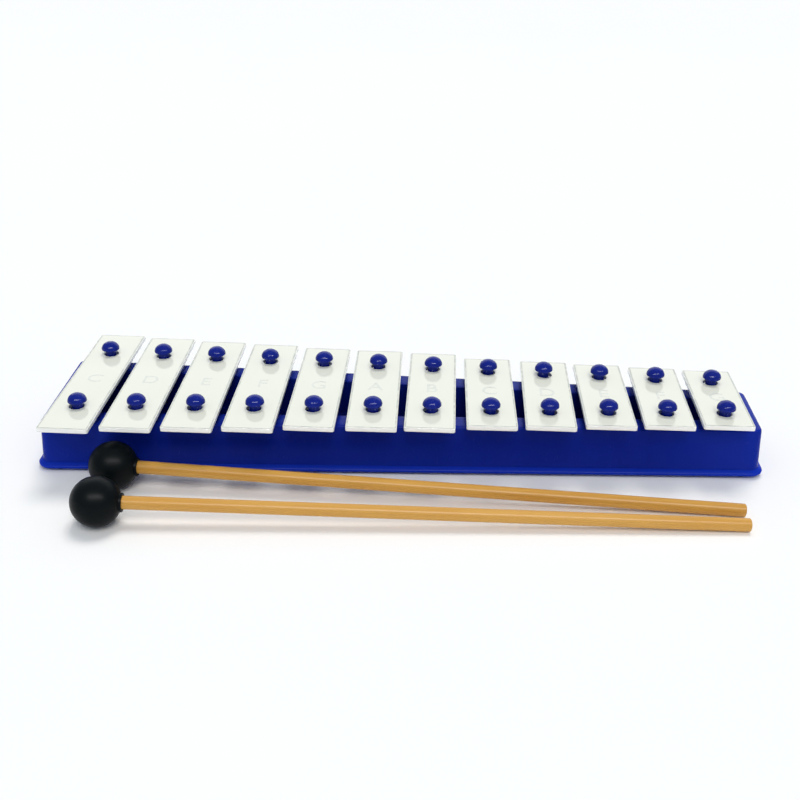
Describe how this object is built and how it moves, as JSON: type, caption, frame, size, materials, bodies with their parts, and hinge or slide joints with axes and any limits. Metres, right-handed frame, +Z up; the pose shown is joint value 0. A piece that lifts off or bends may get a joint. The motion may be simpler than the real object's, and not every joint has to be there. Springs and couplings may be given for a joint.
{
  "type": "glockenspiel",
  "caption": "Small bar glockenspiel: white enamelled bars held by domed pins over a tapered blue resonator box, with its rubber-headed mallets in front.",
  "frame": {"origin": "on the table, under the middle of the whole set's bounding box", "axes": "+X along the row of bars towards the high notes, +Y away from the player, +Z up"},
  "size_m": [0.3674, 0.1516, 0.0403],
  "materials": {
    "box_plastic": "glossy royal blue moulding",
    "pin_plastic": "satin blue soft plastic",
    "bar_enamel": "glossy warm white stove enamel on steel",
    "foot_rubber": "matte dark rubber",
    "head_rubber": "matte black rubber",
    "dowel_wood": "clear-waxed hardwood dowel"
  },
  "bodies": {
    "resonator": {"resonator_box": "box_plastic", "foot_back_left": "foot_rubber", "foot_back_right": "foot_rubber", "foot_front_left": "foot_rubber", "foot_front_right": "foot_rubber", "pin_back_01": "pin_plastic", "pin_back_02": "pin_plastic", "pin_back_03": "pin_plastic", "pin_back_04": "pin_plastic", "pin_back_05": "pin_plastic", "pin_back_06": "pin_plastic", "pin_back_07": "pin_plastic", "pin_back_08": "pin_plastic", "pin_back_09": "pin_plastic", "pin_back_10": "pin_plastic", "pin_back_11": "pin_plastic", "pin_back_12": "pin_plastic", "pin_front_01": "pin_plastic", "pin_front_02": "pin_plastic", "pin_front_03": "pin_plastic", "pin_front_04": "pin_plastic", "pin_front_05": "pin_plastic", "pin_front_06": "pin_plastic", "pin_front_07": "pin_plastic", "pin_front_08": "pin_plastic", "pin_front_09": "pin_plastic", "pin_front_10": "pin_plastic", "pin_front_11": "pin_plastic", "pin_front_12": "pin_plastic"},
    "bar_01_body": {"bar_01": "bar_enamel"},
    "bar_02_body": {"bar_02": "bar_enamel"},
    "bar_03_body": {"bar_03": "bar_enamel"},
    "bar_04_body": {"bar_04": "bar_enamel"},
    "bar_05_body": {"bar_05": "bar_enamel"},
    "bar_06_body": {"bar_06": "bar_enamel"},
    "bar_07_body": {"bar_07": "bar_enamel"},
    "bar_08_body": {"bar_08": "bar_enamel"},
    "bar_09_body": {"bar_09": "bar_enamel"},
    "bar_10_body": {"bar_10": "bar_enamel"},
    "bar_11_body": {"bar_11": "bar_enamel"},
    "bar_12_body": {"bar_12": "bar_enamel"},
    "mallet_front": {"mallet_front_head": "head_rubber", "mallet_front_shaft": "dowel_wood"},
    "mallet_rear": {"mallet_rear_head": "head_rubber", "mallet_rear_shaft": "dowel_wood"}
  },
  "joints": [
    {"name": "bar_01_lift", "type": "slide", "parent": "resonator", "child": "bar_01_body", "axis": [0, 0, 1], "range_m": [0, 0.0028]},
    {"name": "bar_02_lift", "type": "slide", "parent": "resonator", "child": "bar_02_body", "axis": [0, 0, 1], "range_m": [0, 0.0028]},
    {"name": "bar_03_lift", "type": "slide", "parent": "resonator", "child": "bar_03_body", "axis": [0, 0, 1], "range_m": [0, 0.0028]},
    {"name": "bar_04_lift", "type": "slide", "parent": "resonator", "child": "bar_04_body", "axis": [0, 0, 1], "range_m": [0, 0.0028]},
    {"name": "bar_05_lift", "type": "slide", "parent": "resonator", "child": "bar_05_body", "axis": [0, 0, 1], "range_m": [0, 0.0028]},
    {"name": "bar_06_lift", "type": "slide", "parent": "resonator", "child": "bar_06_body", "axis": [0, 0, 1], "range_m": [0, 0.0028]},
    {"name": "bar_07_lift", "type": "slide", "parent": "resonator", "child": "bar_07_body", "axis": [0, 0, 1], "range_m": [0, 0.0028]},
    {"name": "bar_08_lift", "type": "slide", "parent": "resonator", "child": "bar_08_body", "axis": [0, 0, 1], "range_m": [0, 0.0028]},
    {"name": "bar_09_lift", "type": "slide", "parent": "resonator", "child": "bar_09_body", "axis": [0, 0, 1], "range_m": [0, 0.0028]},
    {"name": "bar_10_lift", "type": "slide", "parent": "resonator", "child": "bar_10_body", "axis": [0, 0, 1], "range_m": [0, 0.0028]},
    {"name": "bar_11_lift", "type": "slide", "parent": "resonator", "child": "bar_11_body", "axis": [0, 0, 1], "range_m": [0, 0.0028]},
    {"name": "bar_12_lift", "type": "slide", "parent": "resonator", "child": "bar_12_body", "axis": [0, 0, 1], "range_m": [0, 0.0028]},
    {"name": "mallet_front_pick_up", "type": "slide", "parent": "resonator", "child": "mallet_front", "axis": [0, 0, 1], "range_m": [0, 0.15]},
    {"name": "mallet_rear_draw_out", "type": "slide", "parent": "resonator", "child": "mallet_rear", "axis": [-0.9991, -0.0412, 0], "range_m": [0, 0.15]}
  ]
}
